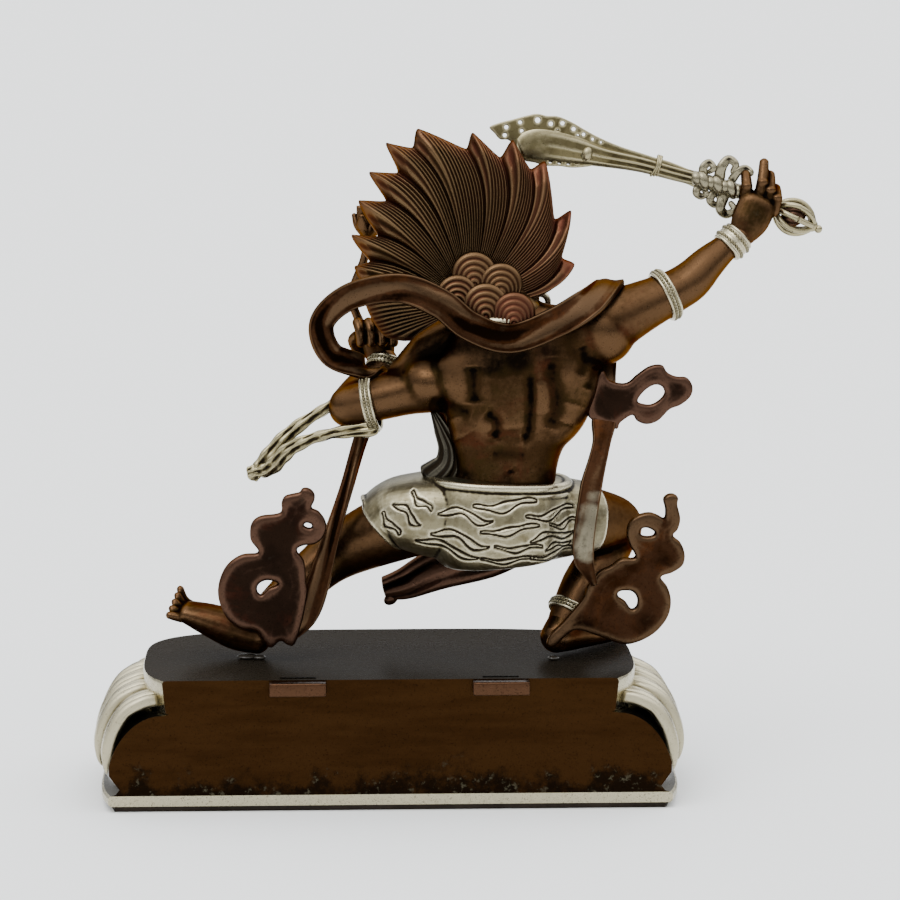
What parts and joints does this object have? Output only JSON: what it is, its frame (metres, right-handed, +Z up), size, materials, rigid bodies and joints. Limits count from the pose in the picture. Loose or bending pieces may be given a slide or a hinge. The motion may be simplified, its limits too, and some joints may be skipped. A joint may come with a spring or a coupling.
{
  "type": "black manjushri statue",
  "caption": "Small copper figure with flame hair and a raised sword, lunging on a lotus plinth with a flat back; silver-plated skirt, armlets, blade and petals.",
  "frame": {"origin": "on the flat underside, below the middle of the plinth's width and 22 mm in front of its flat back", "axes": "+Z up, the figure faces -Y, the plinth's flat back faces +Y, +X is towards the figure's left foot"},
  "size_m": [0.1397, 0.0578, 0.1279],
  "materials": {
    "oxidised_copper": "oxidised copper, satin, dark in the recesses",
    "dark_copper": "blackened copper sheet",
    "antique_silver": "silver plate, darkened in the recesses"
  },
  "bodies": {
    "root": {"plinth": "oxidised_copper", "closing_plate": "dark_copper", "figure": "oxidised_copper", "scarf": "oxidised_copper", "sword": "antique_silver"}
  },
  "joints": []
}
